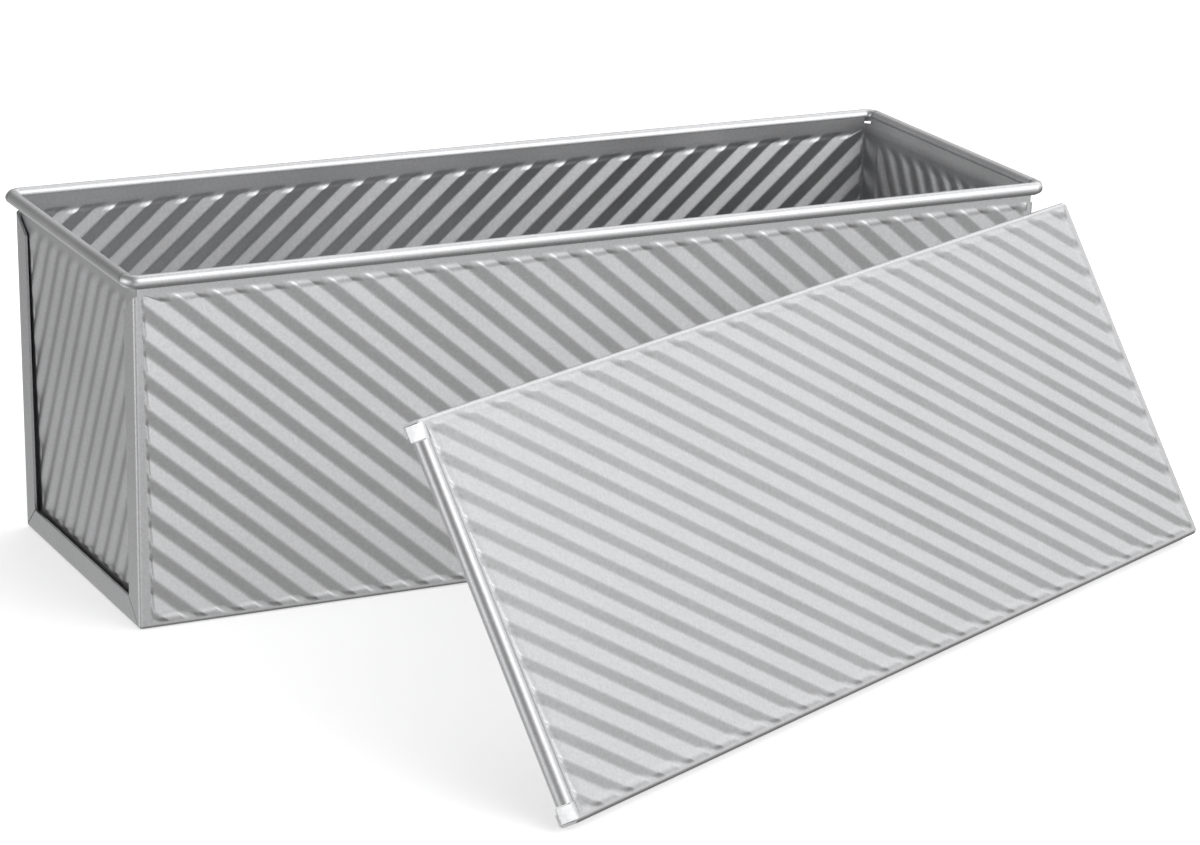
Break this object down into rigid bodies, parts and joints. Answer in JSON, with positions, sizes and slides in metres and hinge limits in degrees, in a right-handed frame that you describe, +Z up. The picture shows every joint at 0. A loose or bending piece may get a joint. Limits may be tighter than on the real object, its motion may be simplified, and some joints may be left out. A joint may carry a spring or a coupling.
{
  "type": "pullman loaf pan",
  "caption": "Long rectangular bread pan of diagonally ribbed sheet with folded end flanges and a wired rolled rim, and a ribbed sliding lid leaning on it.",
  "frame": {"origin": "on the surface that the pan stands on, under the middle of the pan", "axes": "+X along the pan's long walls, -Y towards its front wall, +Z up"},
  "size_m": [0.3641, 0.3103, 0.1162],
  "materials": {
    "pan_steel": "satin",
    "lid_steel": "satin",
    "wire_steel": "plain drawn"
  },
  "bodies": {
    "pan": {"body_sheet": "pan_steel", "left_end_panel": "pan_steel", "right_end_panel": "pan_steel", "rim_wire": "wire_steel"},
    "lid": {"lid_sheet": "lid_steel"}
  },
  "joints": [
    {"name": "lid_slide", "type": "slide", "parent": "pan", "child": "lid", "axis": [-0.907, -0.421, 0], "range_m": [0, 0.335]}
  ]
}
